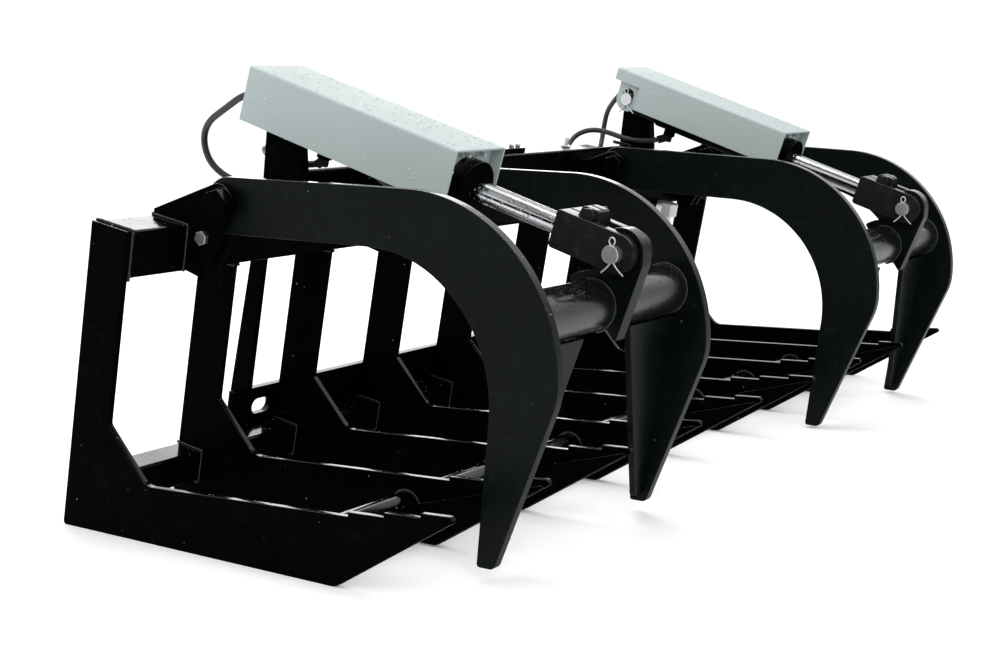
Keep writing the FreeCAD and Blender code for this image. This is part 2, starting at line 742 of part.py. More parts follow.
def write_parts():
    """Stand the grapple on z = 0, centre its box on the Z axis and write each node."""
    whole = Part.makeCompound([piece for pieces in shapes.values() for piece in pieces])
    box = whole.BoundBox
    shift = Vector(-box.Center.x, -box.Center.y, -box.ZMin)
    os.makedirs("parts", exist_ok=True)
    for name, pieces in shapes.items():
        for piece in pieces:
            piece.translate(shift)
        shape = pieces[0] if len(pieces) == 1 else Part.makeCompound(pieces)
        shape.exportStep("parts/%s.step" % name)
    print("shift", [round(v, 3) for v in shift], "box", round(box.XLength, 1), round(box.YLength, 1),
          round(box.ZLength, 1))
    for side, sign in SIDES:
        print(side, "rod pin", [round(v, 3) for v in rod_pin_place(sign)],
              "line", [round(v, 4) for v in cylinder_line(sign)])


make_tines()
make_side_bars()
make_frame_tubes()
make_hinge_brackets()
make_jaws()
make_posts()
make_cylinders()
make_quick_attach()
write_parts()
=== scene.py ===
import bmesh
import bpy
import json
import math
from mathutils import Matrix, Vector


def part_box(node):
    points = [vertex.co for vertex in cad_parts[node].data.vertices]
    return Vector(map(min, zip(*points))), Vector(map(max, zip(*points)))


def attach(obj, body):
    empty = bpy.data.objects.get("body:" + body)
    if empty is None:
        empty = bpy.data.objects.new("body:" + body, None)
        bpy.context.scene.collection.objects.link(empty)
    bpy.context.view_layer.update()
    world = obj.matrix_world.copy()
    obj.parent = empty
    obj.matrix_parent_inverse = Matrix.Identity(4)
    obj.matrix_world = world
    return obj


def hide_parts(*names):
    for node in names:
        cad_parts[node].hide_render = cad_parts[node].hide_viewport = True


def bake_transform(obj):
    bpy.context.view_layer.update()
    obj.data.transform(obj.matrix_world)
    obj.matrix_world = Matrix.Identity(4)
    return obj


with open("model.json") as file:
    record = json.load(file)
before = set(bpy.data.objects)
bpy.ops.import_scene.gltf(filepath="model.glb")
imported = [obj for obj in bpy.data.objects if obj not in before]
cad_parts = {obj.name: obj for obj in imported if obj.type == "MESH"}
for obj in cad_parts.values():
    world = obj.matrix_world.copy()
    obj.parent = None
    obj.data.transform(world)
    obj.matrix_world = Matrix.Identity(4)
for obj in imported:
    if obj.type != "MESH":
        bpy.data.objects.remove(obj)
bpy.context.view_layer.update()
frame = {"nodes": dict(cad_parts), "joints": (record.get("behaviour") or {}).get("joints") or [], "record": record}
scene = bpy.context.scene

# Camera. It stands low at the front left, where the photograph was taken: a long lens,
# held very slightly off level, looking down along the grapple's near end.
camera_azimuth = math.radians(-56.8465)
camera_elevation = math.radians(9.477)
camera_roll = math.radians(0.7264)
camera_distance = 2.4656
camera_target = Vector((-0.5087, -0.1315, 0.2818))
sensor_width = 36.0
focal_pixels = 1649.89
photo_width = 1000.0

back = Vector((math.sin(camera_azimuth) * math.cos(camera_elevation),
               -math.cos(camera_azimuth) * math.cos(camera_elevation), math.sin(camera_elevation)))
level_right = Vector((math.cos(camera_azimuth), math.sin(camera_azimuth), 0.0))
level_up = back.cross(level_right)
right = level_right * math.cos(camera_roll) + level_up * math.sin(camera_roll)
up = level_up * math.cos(camera_roll) - level_right * math.sin(camera_roll)
camera = bpy.data.objects.new("camera", bpy.data.cameras.new("camera"))
camera.data.lens = focal_pixels * sensor_width / photo_width
camera.data.sensor_width = sensor_width
camera.data.clip_end = 200.0
camera.matrix_world = Matrix.Translation(camera_target + back * camera_distance) @ Matrix(
    (right, up, back)).transposed().to_4x4()
scene.collection.objects.link(camera)
scene.camera = camera
scene.view_settings.view_transform = "Standard"

# Studio. A near-white floor that runs back to a white surround. Wide soft lights overhead and
# behind make the wet top faces shine, and a small weak one at the front left opens the sides.
floor_half = 60.0
floor_mesh = bpy.data.meshes.new("studio_floor")
floor_mesh.from_pydata([(-floor_half, -floor_half, 0), (floor_half, -floor_half, 0),
                        (floor_half, floor_half, 0), (-floor_half, floor_half, 0)], [], [(0, 1, 2, 3)])
floor = bpy.data.objects.new("studio_floor", floor_mesh)
scene.collection.objects.link(floor)
world = bpy.data.worlds.new("studio_surround")
world.use_nodes = True
world.node_tree.nodes["Background"].inputs["Color"].default_value = (0.98, 0.99, 1.0, 1.0)
world.node_tree.nodes["Background"].inputs["Strength"].default_value = 1.12
scene.world = world


def soft_light(name, place, aim, size, watts):
    lamp = bpy.data.lights.new(name, "AREA")
    lamp.shape = "DISK"
    lamp.size = size
    lamp.energy = watts
    holder = bpy.data.objects.new(name, lamp)
    holder.location = place
    holder.rotation_euler = (Vector(place) - Vector(aim)).to_track_quat("Z", "Y").to_euler()
    scene.collection.objects.link(holder)


soft_light("overhead_softbox", (0.2, 0.6, 3.2), (0.0, 0.0, 0.3), 2.4, 36.0)
soft_light("rear_softbox", (2.6, 2.2, 1.7), (0.0, 0.0, 0.3), 2.6, 34.0)
soft_light("front_softbox", (-2.4, -2.2, 2.6), (0.0, 0.0, 0.4), 1.2, 16.0)


# Frame plates and tubes. Flame-cut steel plate and square tube, welded up and powder coated
# gloss black; rain stands on it in beads and lies as a film on what faces up.
class Field:
    """A value over a surface: a node's output, whose sums and products add Math nodes."""

    def __init__(self, finish, socket):
        self.finish = finish
        self.socket = socket

    def worked(self, operation, *values):
        return self.finish.node("ShaderNodeMath", {"operation": operation}, dict(enumerate(values)))

    def __add__(self, other):
        return self.worked("ADD", self, other)

    def __radd__(self, other):
        return self.worked("ADD", other, self)

    def __sub__(self, other):
        return self.worked("SUBTRACT", self, other)

    def __rsub__(self, other):
        return self.worked("SUBTRACT", other, self)

    def __mul__(self, other):
        return self.worked("MULTIPLY", self, other)

    def __rmul__(self, other):
        return self.worked("MULTIPLY", other, self)

    def above(self, edge, width):
        """0 below edge, 1 above edge + width, smooth between."""
        return self.finish.node("ShaderNodeMapRange", {"interpolation_type": "SMOOTHSTEP"},
                                {"Value": self, "From Min": edge, "From Max": edge + width})


class Finish:
    """A material under construction, with its nodes and its shader."""

    def __init__(self, name, constants):
        self.material = bpy.data.materials.new(name)
        self.material.use_nodes = True
        self.tree = self.material.node_tree
        self.shader = self.tree.nodes["Principled BSDF"]
        for socket, value in constants.items():
            self.shader.inputs[socket].default_value = value
        self.place = self.node("ShaderNodeTexCoord", {}, {}, "Object")
        facing = self.node("ShaderNodeNewGeometry", {}, {}, "Normal")
        self.upward = self.node("ShaderNodeSeparateXYZ", {}, {"Vector": facing}, "Z")

    def node(self, kind, settings, inputs, output=0):
        made = self.tree.nodes.new(kind)
        for setting, value in settings.items():
            setattr(made, setting, value)
        for socket, value in inputs.items():
            if isinstance(value, Field):
                self.tree.links.new(value.socket, made.inputs[socket])
            else:
                made.inputs[socket].default_value = value
        return Field(self, made.outputs[output])

    def noise(self, scale, detail=2.0, vector=None):
        return self.node("ShaderNodeTexNoise", {}, {"Vector": vector or self.place, "Scale": scale,
                                                    "Detail": detail}, "Fac")

    def blended(self, share, low, high):
        return self.node("ShaderNodeMix", {"data_type": "RGBA"}, {0: share, 6: low, 7: high}, 2)

    def beads(self, spacing, size):
        """Height of rain beads: rounded caps, one in a cell, of unlike sizes."""
        cells = {"Vector": self.place, "Scale": 1.0 / spacing}
        reach = self.node("ShaderNodeTexVoronoi", {}, cells, "Distance")
        chance = self.node("ShaderNodeTexVoronoi", {}, cells, "Color")
        red = self.node("ShaderNodeSeparateColor", {}, {"Color": chance}, "Red")
        return (red * size - reach).above(0.0, 0.16)

    def feed(self, socket, field):
        self.tree.links.new(field.socket, self.shader.inputs[socket])

    def relief(self, height, depth):
        bump = self.node("ShaderNodeBump", {}, {"Height": height, "Distance": depth, "Strength": 1.0},
                         "Normal")
        self.feed("Normal", bump)


def powder_coat(name, dark, light, gloss, core=1.04):
    """Gloss powder coat, wet: faint mottle, orange peel, rain beads and a film on top faces."""
    finish = Finish(name, {"IOR": core, "Coat IOR": 1.5, "Coat Roughness": 0.1})
    film = finish.upward.above(0.3, 0.45)
    mottle = finish.noise(9.0, 4.0)
    dust = finish.noise(55.0, 5.0).above(0.52, 0.2)
    drops = finish.beads(0.009, 0.5) * (0.1 + 0.9 * film)
    fine_drops = finish.beads(0.0045, 0.5) * (0.1 + 0.9 * film)
    finish.feed("Base Color", finish.blended(mottle * 0.5 + dust * 0.35, dark, light))
    finish.feed("Roughness", gloss + 0.16 * mottle - 0.1 * film + 0.05 * dust)
    finish.feed("Coat Weight", film * (0.55 + 0.45 * mottle))
    finish.relief(finish.noise(420.0) * 0.05 + drops + fine_drops * 0.4, 0.0011)
    return finish


black_coat = powder_coat("black_powder_coat", (0.0004, 0.0005, 0.0006, 1.0),
                         (0.0026, 0.003, 0.0034, 1.0), 0.24)
weld_coat = powder_coat("coated_weld", (0.001, 0.001, 0.0012, 1.0),
                        (0.006, 0.0065, 0.007, 1.0), 0.1, 1.45)


def cut_loose(shape):
    """The separate solids of a mesh, the widest first, each as a list of its faces."""
    left = set(shape.faces)
    solids = []
    while left:
        solid = [left.pop()]
        for face in solid:
            for edge in face.edges:
                for other in edge.link_faces:
                    if other in left:
                        left.remove(other)
                        solid.append(other)
        solids.append(solid)
    return sorted(solids, key=lambda faces: -spread(faces))


def spread(faces):
    points = [vertex.co for face in faces for vertex in face.verts]
    return max((point - points[0]).length for point in points)


def settled(piece):
    """Mesh of a piece as its modifiers, or its curve's thickness, leave it."""
    bpy.context.view_layer.update()
    return bpy.data.meshes.new_from_object(piece.evaluated_get(bpy.context.evaluated_depsgraph_get()))


def finished(piece, body):
    """Freeze a piece's modifiers into its mesh and let it ride on its body."""
    scene.collection.objects.link(piece)
    mesh = settled(piece)
    piece.modifiers.clear()
    if piece.type != "MESH":
        name = piece.name
        bpy.data.objects.remove(piece)
        piece = bpy.data.objects.new(name, mesh)
        scene.collection.objects.link(piece)
    piece.data = mesh
    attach(piece, body)
    return piece


sharp_edge = math.radians(34)


def softened(piece, width, clamped):
    """Round a piece's sharp edges and keep the shading of its flat faces flat."""
    bevel = piece.modifiers.new("edge", "BEVEL")
    bevel.width = width
    bevel.segments = 2
    bevel.limit_method = "ANGLE"
    bevel.angle_limit = sharp_edge
    bevel.use_clamp_overlap = clamped
    weighted = piece.modifiers.new("shading", "WEIGHTED_NORMAL")
    weighted.keep_sharp = False


node_bodies = {node: body for body, nodes in frame["record"]["behaviour"]["bodies"].items() for node in nodes}
weld_distance = 0.00001
flat_angle = math.radians(0.6)


def broken_edges(node, edge, *finishes):
    """The node's own shape with its sharp edges broken, one finish for each of its solids."""
    mesh = frame["nodes"][node].data.copy()
    shape = bmesh.new()
    shape.from_mesh(mesh)
    bmesh.ops.remove_doubles(shape, verts=shape.verts, dist=weld_distance)
    bmesh.ops.dissolve_limit(shape, angle_limit=flat_angle, verts=shape.verts, edges=shape.edges)
    for rank, solid in enumerate(cut_loose(shape)):
        for face in solid:
            face.material_index = min(rank, len(finishes) - 1)
            face.smooth = True
    shape.to_mesh(mesh)
    shape.free()
    mesh.materials.clear()
    for finish in finishes:
        mesh.materials.append(finish.material)
    piece = bpy.data.objects.new(node + "_finished", mesh)
    softened(piece, edge, False)
    piece = finished(piece, node_bodies[node])
    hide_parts(node)


frame_nodes = ["tine_%d" % number for number in range(1, 10)] + [
    "tine_side_bars", "main_tube", "lower_tube", "front_pipe", "post_beam", "attach_bar_left",
    "attach_bar_right", "attach_top_lip", "attach_lower_plate", "post_left", "post_right",
    "hinge_brackets_left", "hinge_brackets_right", "hinge_bolts", "hinge_washers"]
for node in frame_nodes:
    broken_edges(node, 0.0009, black_coat)


class Growth:
    """A Geometry Nodes tree under construction, with the named inputs that its modifier sets."""

    def __init__(self, name, inputs):
        self.tree = bpy.data.node_groups.new(name, "GeometryNodeTree")
        for label, kind in {"Geometry": "NodeSocketGeometry", **inputs}.items():
            self.tree.interface.new_socket(label, in_out="INPUT", socket_type=kind)
        self.tree.interface.new_socket("Geometry", in_out="OUTPUT", socket_type="NodeSocketGeometry")
        self.given = self.tree.nodes.new("NodeGroupInput").outputs
        self.result = self.tree.nodes.new("NodeGroupOutput").inputs[0]

    def node(self, kind, settings, inputs, output=0):
        made = self.tree.nodes.new(kind)
        for setting, value in settings.items():
            setattr(made, setting, value)
        for socket, value in inputs.items():
            if isinstance(value, bpy.types.NodeSocket):
                self.tree.links.new(value, made.inputs[socket])
            else:
                made.inputs[socket].default_value = value
        return made.outputs[output]

    def spread_out(self, points, shape, turn, size):
        """Stand a smooth copy of the shape on each point and hand the whole out as one mesh."""
        stood = self.node("GeometryNodeInstanceOnPoints", {}, {"Points": points, "Instance": shape,
                                                               "Rotation": turn, "Scale": size})
        whole = self.node("GeometryNodeSetShadeSmooth", {}, {
            "Geometry": self.node("GeometryNodeRealizeInstances", {}, {"Geometry": stood})})
        self.tree.links.new(self.node("GeometryNodeSetMaterial", {}, {
            "Geometry": whole, "Material": self.given["Material"]}), self.result)

    def grown(self, name, mesh, values, body):
        """The tree's mesh over the given one, frozen and riding on its body."""
        piece = bpy.data.objects.new(name, mesh)
        modifier = piece.modifiers.new("growth", "NODES")
        modifier.node_group = self.tree
        for item in self.tree.interface.items_tree:
            if item.name in values:
                modifier[item.identifier] = values[item.name]
        return finished(piece, body)


weld = Growth("weld_bead", {"Ripple": "NodeSocketFloat", "Throat": "NodeSocketFloat",
                            "Material": "NodeSocketMaterial"})
weld_line = weld.node("GeometryNodeResampleCurve", {"mode": "LENGTH"}, {
    "Curve": weld.node("GeometryNodeMeshToCurve", {}, {"Mesh": weld.given["Geometry"]}),
    "Length": weld.given["Ripple"]})
weld_drop = weld.node("GeometryNodeMeshUVSphere", {}, {
    "Segments": 7, "Rings": 4, "Radius": weld.given["Throat"]})
weld_turn = weld.node("FunctionNodeAlignRotationToVector", {"axis": "Z"}, {
    "Vector": weld.node("GeometryNodeInputTangent", {}, {})})
weld_size = weld.node("FunctionNodeRandomValue", {"data_type": "FLOAT_VECTOR"}, {
    0: (0.86, 0.86, 0.6), 1: (1.12, 1.12, 0.85), 8: 4})
weld.spread_out(weld_line, weld_drop, weld_turn, weld_size)

shower = Growth("rain_drops", {"Top Count": "NodeSocketFloat", "Side Count": "NodeSocketFloat",
                               "Radius": "NodeSocketFloat", "Seed": "NodeSocketInt",
                               "Axle": "NodeSocketVector", "Dry Radius": "NodeSocketFloat",
                               "Material": "NodeSocketMaterial"})
skyward = shower.node("ShaderNodeSeparateXYZ", {}, {
    "Vector": shower.node("GeometryNodeInputNormal", {}, {})}, 2)
crowd = shower.node("ShaderNodeMapRange", {}, {"Value": skyward, "From Min": 0.25, "From Max": 0.75,
                                               "To Min": shower.given["Side Count"],
                                               "To Max": shower.given["Top Count"]})
flattened = shower.node("ShaderNodeVectorMath", {"operation": "MULTIPLY"}, {
    0: shower.node("GeometryNodeInputPosition", {}, {}), 1: (0.0, 1.0, 1.0)})
from_axle = shower.node("ShaderNodeVectorMath", {"operation": "DISTANCE"}, {
    0: flattened, 1: shower.given["Axle"]}, "Value")
in_the_open = shower.node("ShaderNodeMath", {"operation": "GREATER_THAN"}, {
    0: from_axle, 1: shower.given["Dry Radius"]})
fallen = {"Mesh": shower.given["Geometry"], "Seed": shower.given["Seed"],
          "Density": shower.node("ShaderNodeMath", {"operation": "MULTIPLY"}, {0: crowd, 1: in_the_open})}
scatter = shower.node("GeometryNodeDistributePointsOnFaces", {}, fallen)
dome = shower.node("GeometryNodeTransform", {}, {
    "Geometry": shower.node("GeometryNodeMeshUVSphere", {}, {"Segments": 7, "Rings": 5,
                                                             "Radius": shower.given["Radius"]}),
    "Scale": (1.0, 1.0, 0.5)})
chance = shower.node("FunctionNodeRandomValue", {}, {2: 0.0, 3: 1.0, 8: 11}, 1)
share = shower.node("ShaderNodeMath", {"operation": "POWER"}, {0: chance, 1: 2.5})
size = shower.node("ShaderNodeMath", {"operation": "MULTIPLY_ADD"}, {0: share, 1: 0.75, 2: 0.25})
shower.spread_out(scatter, dome, scatter.node.outputs["Rotation"], size)


def weld_mesh(name, lines):
    """Mesh of edges only, one open or closed polyline for each line of points."""
    corners = [point for line in lines for point in line]
    edges, first = [], 0
    for line in lines:
        edges += [(first + step, first + step + 1) for step in range(len(line) - 1)]
        first += len(line)
    mesh = bpy.data.meshes.new(name)
    mesh.from_pydata(corners, edges, [])
    return mesh


def ring(centre, radius, first=0.0, last=360.0):
    """Arc about an X axis, from its angle over the forward direction to the last one."""
    steps = 28
    turns = [math.radians(first + (last - first) * step / steps) for step in range(steps + 1)]
    return [Vector(centre) + Vector((0.0, -math.cos(turn), math.sin(turn))) * radius for turn in turns]


def rained(name, nodes, finish, top, side, radius, seed, body, slot, axle=(0.0, 0.0, 0.0), dry=0.0):
    """Rain drops over a group of one body's CAD nodes, with none where plates slide past an axle."""
    shape = bmesh.new()
    for node in nodes:
        shape.from_mesh(frame["nodes"][node].data)
    mesh = bpy.data.meshes.new(name)
    shape.to_mesh(mesh)
    shape.free()
    values = {"Top Count": top, "Side Count": side, "Radius": radius, "Seed": seed,
              "Axle": axle, "Dry Radius": dry, "Material": finish.material}
    return shower.grown(name, mesh, values, body)


lean = math.radians(9.8)
pin_over_heel = 0.14
joints = {joint["name"]: joint for joint in frame["joints"]}
heel_y = joints["cylinder_left_swing"]["pos_m"][1] + pin_over_heel


def leaning(x, height, depth):
    """Point by its height up the leaning back and its depth in front of the rear faces."""
    return Vector((x, heel_y - depth * math.cos(lean) - height * math.sin(lean),
                   height * math.cos(lean) - depth * math.sin(lean)))


def leaning_line(x, places):
    """Line across the leaning back, through places of height and depth."""
    return [leaning(x, *place) for place in places]


tine_pitch = 0.2286
tine_half = 0.005
last_tine = 4
bead = 0.003
sunk = 0.3 * bead
post_x = 0.57
post_half = 0.0135
hook_offset = 0.2205
bracket_half = 0.0095
beam_end = 0.5565
lower_tube_seam = ((0.033, 0.0), (0.033, 0.051), (0.085, 0.051), (0.085, 0.0))
tine_head_seam = ((0.3915, 0.0), (0.3915, 0.07))
main_tube_seam = ((0.391, 0.0), (0.391, 0.071), (0.463, 0.071), (0.463, 0.0), (0.391, 0.0))
beam_seam = ((0.463, 0.041), (0.523, 0.041), (0.523, 0.0))
post_seam = ((0.463, 0.03), (0.463, 0.07))
bracket_seam = ((0.463, 0.0), (0.463, 0.071), (0.395, 0.071))
lines = []
low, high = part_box("front_pipe")
pipe_y, pipe_z, pipe_radius = (low.y + high.y) / 2, (low.z + high.z) / 2, (high.z - low.z) / 2
for number in range(-last_tine, last_tine + 1):
    for face in (-1, 1):
        x = number * tine_pitch + face * (tine_half + sunk)
        if abs(x) > last_tine * tine_pitch:
            continue
        lines.append(ring((x, pipe_y, pipe_z), pipe_radius + sunk))
        lines.append(leaning_line(x, lower_tube_seam))
        lines.append(leaning_line(x, tine_head_seam if abs(number) < last_tine else main_tube_seam))
for side in (-1, 1):
    lines.append(leaning_line(side * beam_end, beam_seam))
    for post_face in (-post_half, post_half):
        lines.append(leaning_line(side * post_x + post_face, post_seam))
    for hook in (-hook_offset, hook_offset):
        for face in (-bracket_half, bracket_half):
            lines.append(leaning_line(side * post_x + hook + face, bracket_seam))
weld_values = {"Ripple": 0.0031, "Throat": bead, "Material": weld_coat.material}
weld.grown("frame_welds", weld_mesh("frame_welds", lines), weld_values, "frame")

# The drops' colour, grey and far lighter than the black paint under them, is a painted glint of light on clear
# water.
black_water_painted_glint = Finish("rain_on_black", {"IOR": 1.33, "Coat Weight": 1.0, "Coat IOR": 1.5,
                                       "Coat Roughness": 0.02})
black_water_painted_glint.feed("Base Color", black_water_painted_glint.blended(black_water_painted_glint.noise(300.0), (0.02, 0.022, 0.024, 1.0),
                                                   (0.2, 0.21, 0.22, 1.0)))
black_water_painted_glint.feed("Roughness", 0.04 + 0.08 * black_water_painted_glint.noise(90.0))
black_rain = (black_water_painted_glint, 3600.0, 130.0, 0.0016)
rained("frame_rain", [node for node in frame_nodes if not node.startswith("attach")],
       *black_rain, 3, "frame", "black_paint")

floor_paint = Finish("studio_floor_paint", {"Roughness": 0.55, "IOR": 1.2, "Emission Strength": 0.16})
pale = floor_paint.blended(floor_paint.noise(1.5), (0.93, 0.93, 0.94, 1.0), (0.96, 0.96, 0.97, 1.0))
floor_paint.feed("Base Color", pale)
floor_paint.feed("Emission Color", pale)
floor.data.materials.append(floor_paint.material)

# Stop bolts and pins. Zinc-plated bolts through each bracket pair, and ground pins with a
# dull plated skin, scuffed where they were driven home.
zinc = Finish("zinc_plate", {"Metallic": 1.0})
scuffs = zinc.noise(700.0, 4.0)
zinc.feed("Base Color", zinc.blended(scuffs, (0.36, 0.37, 0.38, 1.0), (0.78, 0.79, 0.8, 1.0)))
zinc.feed("Roughness", 0.22 + 0.3 * scuffs)
zinc.relief(scuffs, 0.00012)
for node in ("bracket_stop_bolts", "base_pins", "rod_pin_left", "rod_pin_right"):
    broken_edges(node, 0.0007, zinc)

# Jaws. Two flame-cut hooks on a pipe with a lug and tapered stiffeners, all black like the
# frame; they turn on the hinge bolts.
# The jaw coat's and the pipe coat's colours are lighter, bluish copies of the frame's black: a painted sheen.
jaw_coat_painted_sheen = powder_coat("jaw_powder_coat", (0.001, 0.0016, 0.0018, 1.0),
                       (0.005, 0.008, 0.0086, 1.0), 0.26, 1.16)
pipe_coat_painted_sheen = powder_coat("wet_pipe_coat", (0.0015, 0.002, 0.0021, 1.0),
                        (0.012, 0.014, 0.015, 1.0), 0.17, 1.4)
lug_half = 0.0134
lug_seam = (-75.0, 100.0)
dry_radius = 0.18
for side in ("left", "right"):
    for node in ("hook_outer_", "hook_inner_", "jaw_pipe_", "jaw_lug_", "jaw_flanges_"):
        broken_edges(node + side, 0.0011, pipe_coat_painted_sheen if node == "jaw_pipe_" else jaw_coat_painted_sheen)
    low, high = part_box("jaw_pipe_" + side)
    middle, radius = (low + high) / 2, (high.z - low.z) / 2 + sunk
    lines = [ring((x, middle.y, middle.z), radius) for x in (low.x + sunk, high.x - sunk)]
    lines += [ring((middle.x + out, middle.y, middle.z), radius, *lug_seam) for out in (-lug_half, lug_half)]
    weld.grown("jaw_welds_" + side, weld_mesh("jaw_welds_" + side, lines), weld_values,
               "jaw_" + side)
    rained("jaw_rain_" + side,
           [node + side for node in ("hook_outer_", "hook_inner_", "jaw_pipe_", "jaw_lug_")],
           *black_rain, 5, "jaw_" + side, "black_paint",
           (0.0, *joints["jaw_%s_hinge" % side]["pos_m"][1:]), dry_radius)

# Cylinders. Black barrels with cast ends, and a hard-chromed ground rod in a cast fork that
# is split and clamped on it.
cast_black = powder_coat("painted_casting", (0.006, 0.0062, 0.0066, 1.0), (0.03, 0.03, 0.031, 1.0), 0.36)
chrome = Finish("hard_chrome", {"Metallic": 1.0})
rod_slope = math.radians(17.2)
along_rod = chrome.node("ShaderNodeMapping", {"vector_type": "TEXTURE"}, {
    "Vector": chrome.place, "Rotation": (rod_slope, 0.0, 0.0), "Scale": (0.006, 0.4, 0.006)})
# The rod's colour runs in long dark and bright stripes: painted reflections of a darker surround, with grind marks
# mixed in; the grind marks also vary its roughness.
painted_reflection_streaks = chrome.noise(1.0, 4.0, along_rod).above(0.4, 0.2)
grind_and_painted_reflection = chrome.noise(6.0, 3.0, along_rod)
chrome.feed("Base Color", chrome.blended(painted_reflection_streaks * 0.75 + grind_and_painted_reflection * 0.25, (0.035, 0.036, 0.037, 1.0),
                                         (0.55, 0.56, 0.57, 1.0)))
chrome.feed("Roughness", 0.08 + 0.12 * grind_and_painted_reflection)
chrome.relief(chrome.beads(0.007, 0.6), 0.0006)
for side in ("left", "right"):
    broken_edges("barrel_" + side, 0.0008, black_coat)
    broken_edges("gland_" + side, 0.0008, black_coat)
    broken_edges("cylinder_base_" + side, 0.0015, cast_black)
    broken_edges("rod_clevis_" + side, 0.0015, cast_black, zinc)
    broken_edges("piston_rod_" + side, 0.0008, chrome)

# Covers. Light grey painted sheet, folded into a channel over each cylinder and hung on the
# rear pin, with a small plate in its mouth that a black strap and two studs hold.
cover_paint = Finish("grey_cover_paint", {"IOR": 1.24})
wet = cover_paint.upward.above(0.5, 0.3)
cloud = cover_paint.noise(7.0, 3.0)
grain = cover_paint.noise(260.0, 2.0)
rain = cover_paint.beads(0.008, 0.5) * (0.15 + 0.85 * wet)
fine_rain = cover_paint.beads(0.004, 0.5) * (0.15 + 0.85 * wet)
cover_paint.feed("Base Color", cover_paint.blended(cloud * 0.7 + rain * 0.3, (0.415, 0.475, 0.465, 1.0),
                                                   (0.345, 0.4, 0.392, 1.0)))
cover_paint.feed("Roughness", 0.52 - 0.06 * wet + 0.1 * cloud - 0.15 * rain)
cover_paint.relief(grain * 0.04 + rain + fine_rain * 0.5, 0.0006)
# The drops' colour, from a little darker to much lighter than the paint under them, is painted shade at their rims
# and painted glints of light on clear water.
grey_water_painted_glint = Finish("rain_on_grey", {"IOR": 1.4})
grey_water_painted_glint.feed("Base Color", grey_water_painted_glint.blended(grey_water_painted_glint.noise(300.0), (0.34, 0.38, 0.37, 1.0),
                                                 (0.62, 0.66, 0.65, 1.0)))
grey_water_painted_glint.feed("Roughness", 0.03 + 0.08 * grey_water_painted_glint.noise(90.0))
for side in ("left", "right"):
    broken_edges("cover_" + side, 0.0006, cover_paint)
    broken_edges("cover_ears_" + side, 0.0008, cover_paint)
    broken_edges("cover_end_plate_" + side, 0.0005, cover_paint, black_coat, zinc)
    rained("cover_rain_" + side, ["cover_" + side], grey_water_painted_glint, 7500.0, 1300.0, 0.0028, 7, "cylinder_" + side,
           "cover_paint")

# Hoses. Two rubber hoses a side. One comes along the barrel, over the rear pin and round in
# a loop, the other back from the port elbow; both run behind the beam to the clamp block.
rubber = Finish("hose_rubber_cover", {"IOR": 1.5})
weave = rubber.noise(900.0, 2.0)
rubber.feed("Base Color", rubber.blended(weave, (0.004, 0.004, 0.0045, 1.0), (0.014, 0.014, 0.015, 1.0)))
rubber.feed("Roughness", 0.3 + 0.25 * weave)
rubber.relief(weave * 0.3 + rubber.beads(0.006, 0.5), 0.0005)
hose_diameter = 0.011
upper_hose_ride = (
    (0.003, 0.312, -0.046), (0.022, 0.268, -0.049), (0.043, 0.212, -0.024), (0.0465, 0.12, 0.0),
    (0.041, 0.042, 0.02), (0.0385, -0.01, 0.024), (0.038, -0.056, 0.007))
upper_hose_loop = {
    "left": ((0.033, 0.042, 0.604), (0.025, -0.003, 0.582), (0.014, -0.024, 0.549),
             (0.002, -0.016, 0.509), (-0.022, 0.018, 0.483), (-0.06, 0.05, 0.474),
             (-0.11, 0.069, 0.473)),
    "right": ((0.045, 0.055, 0.601), (0.062, 0.028, 0.577), (0.067, 0.018, 0.544),
              (0.056, 0.019, 0.508), (0.022, 0.03, 0.483), (-0.025, 0.047, 0.474),
              (-0.08, 0.064, 0.472), (-0.13, 0.0715, 0.473))}
lower_hose_loop = (
    (-0.025, 0.157, 0.519), (-0.026, 0.121, 0.523), (-0.033, 0.086, 0.535), (-0.046, 0.053, 0.541),
    (-0.074, 0.032, 0.531), (-0.108, 0.032, 0.51), (-0.148, 0.052, 0.493), (-0.2, 0.072, 0.486))
upper_hose_runs = {
    "left": ((-0.24, 0.073, 0.468), (-0.38, 0.0725, 0.465), (-0.51, 0.073, 0.469),
             (-0.615, 0.0735, 0.4725)),
    "right": ((-0.22, 0.073, 0.468), (-0.34, 0.073, 0.47), (-0.415, 0.0735, 0.4725))}
lower_hose_runs = {
    "left": ((-0.3, 0.076, 0.4835), (-0.42, 0.076, 0.482), (-0.52, 0.076, 0.4845),
             (-0.615, 0.0763, 0.488)),
    "right": ((-0.26, 0.076, 0.484), (-0.34, 0.076, 0.485), (-0.415, 0.0763, 0.488))}
elbow_mouth = (-0.0117, 0.0753, -0.0637)


def line_point(side, out, along, rise):
    """Point beside a cylinder's line, from its base pin."""
    pin = Vector(joints["cylinder_%s_swing" % side]["pos_m"])
    forward = Vector(joints["rod_%s_slide" % side]["axis"])
    outward = Vector((1.0 if side == "right" else -1.0, 0.0, 0.0))
    upward = forward.cross(Vector((1.0, 0.0, 0.0)))
    return pin + outward * out + forward * along + upward * rise


def frame_point(side, out, reach, height):
    """Point by its distance out from the cylinder's middle, forward of the heel and up."""
    pin = Vector(joints["cylinder_%s_swing" % side]["pos_m"])
    outward = 1.0 if side == "right" else -1.0
    return Vector((pin.x + outward * out, heel_y - reach, height))


def hose_line(name, points):
    """Smooth open curve with the points as its control points."""
    curve = bpy.data.curves.new(name, "CURVE")
    curve.dimensions = "3D"
    curve.resolution_u = 6
    spline = curve.splines.new("NURBS")
    spline.points.add(len(points) - 1)
    for point, place in zip(spline.points, points):
        point.co = (*place, 1.0)
    spline.order_u = 3
    spline.use_endpoint_u = True
    return bpy.data.objects.new(name, curve)


